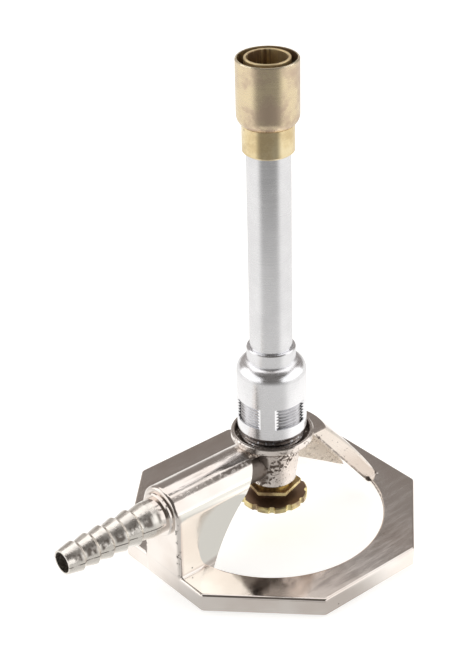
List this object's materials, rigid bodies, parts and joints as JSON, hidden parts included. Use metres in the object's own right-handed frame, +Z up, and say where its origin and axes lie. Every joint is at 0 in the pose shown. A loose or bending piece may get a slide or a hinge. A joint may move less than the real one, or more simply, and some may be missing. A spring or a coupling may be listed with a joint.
{
  "type": "bunsen burner",
  "caption": "Laboratory gas burner with octagonal ring foot, side hose nipple, needle valve knob below, screw-type air sleeve and brass flame stabilizer on a straight tube.",
  "frame": {"origin": "on the table, under the barrel's axis, at the foot's underside", "axes": "+Z up along the barrel, -X towards the hose nipple's tip, +Y by the right-hand rule"},
  "size_m": [0.1256, 0.09, 0.159],
  "materials": {
    "nickel_casting": "bright nickel plate over a casting",
    "bright_aluminium": "turned, satin",
    "brass": "turned, dulled",
    "zinc_steel": "zinc plated",
    "fibre": "vulcanised fibre",
    "packing": "fluoropolymer"
  },
  "bodies": {
    "burner_base": {"base_casting": "nickel_casting", "threaded_spud": "bright_aluminium", "spud_gasket": "fibre", "gas_jet": "brass", "packing_nut": "brass", "packing_nut_washer": "fibre", "stem_packing": "packing", "packing_washer": "brass"},
    "barrel": {"mixing_tube": "bright_aluminium"},
    "air_regulator": {"air_sleeve": "bright_aluminium", "stabilizer_nozzle": "brass", "stabilizer_shell": "brass"},
    "needle": {"needle_stem": "brass"},
    "valve_handle": {"valve_knob": "brass", "knob_lock_washer": "zinc_steel", "knob_screw": "zinc_steel"}
  },
  "joints": [
    {"name": "barrel_lift", "type": "slide", "parent": "burner_base", "child": "barrel", "axis": [0, 0, 1], "range_m": [-0.0032, 0.0085]},
    {"name": "sleeve_turn", "type": "hinge", "parent": "barrel", "child": "air_regulator", "pos_m": [0, 0, 0.0388], "axis": [0, 0, 1], "range_deg": [-1080, 2880]},
    {"name": "needle_lift", "type": "slide", "parent": "burner_base", "child": "needle", "axis": [0, 0, 1], "range_m": [-0.0016, 0.0008]},
    {"name": "knob_turn", "type": "hinge", "parent": "needle", "child": "valve_handle", "pos_m": [0, 0, 0.0113], "axis": [0, 0, 1], "range_deg": [-720, 360]}
  ],
  "couplings": [
    {"joint": "barrel_lift", "follows": "sleeve_turn", "m_per_rad": 0.00016844},
    {"joint": "needle_lift", "follows": "knob_turn", "m_per_rad": 0.00012633}
  ]
}
